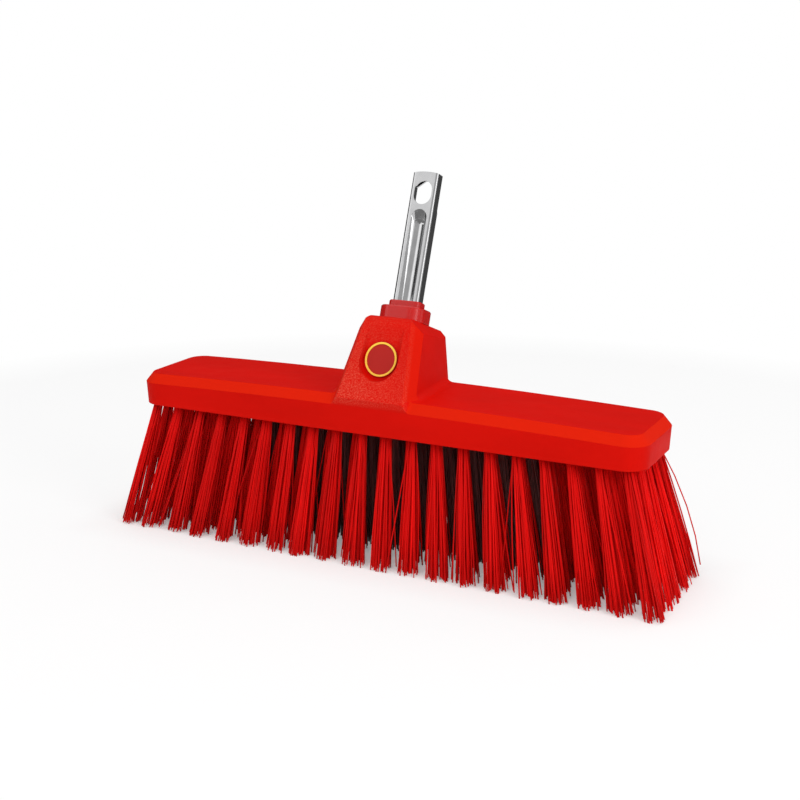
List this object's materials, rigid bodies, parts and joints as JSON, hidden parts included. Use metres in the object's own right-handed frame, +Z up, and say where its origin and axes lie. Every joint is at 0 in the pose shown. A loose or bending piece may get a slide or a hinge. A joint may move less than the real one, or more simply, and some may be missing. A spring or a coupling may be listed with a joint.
{
  "type": "push broom head",
  "caption": "Push broom head: long red moulded block with a raised neck, a leaning steel tang with a latch hole, and splayed red and black bristle tufts that it stands on.",
  "frame": {"origin": "on the floor plane that the cut bristle tips stand on, under the middle of the part's overall length and depth", "axes": "X along the block, +Y to the back, the way the tang leans, +Z up"},
  "size_m": [0.4396, 0.1094, 0.274],
  "materials": {
    "block_red": "moulded red plastic with a fine satin grain",
    "collar_red": "smooth glossy red plastic",
    "steel": "bright plated pressed steel",
    "badge_red": "dull dark red plastic",
    "badge_yellow": "yellow raised band",
    "anchor_wire": "flat drawn wire",
    "bristle_red": "extruded red filament with a slight sheen",
    "bristle_black": "extruded black filament with a slight sheen"
  },
  "bodies": {
    "root": {"broom_block": "block_red", "neck_collar": "collar_red", "tang": "steel", "badge_disc": "badge_red", "badge_ring": "badge_yellow", "tuft_anchors": "anchor_wire", "tufts_front_left": "bristle_red", "tufts_front_centre": "bristle_red", "tufts_front_right": "bristle_red", "tufts_second_left": "bristle_red", "tufts_second_centre": "bristle_red", "tufts_second_right": "bristle_red", "tufts_middle_left": "bristle_red", "tufts_middle_centre": "bristle_black", "tufts_middle_right": "bristle_red", "tufts_fourth_left": "bristle_red", "tufts_fourth_centre": "bristle_black", "tufts_fourth_right": "bristle_red", "tufts_back_left": "bristle_red", "tufts_back_centre": "bristle_red", "tufts_back_right": "bristle_red"}
  },
  "joints": []
}
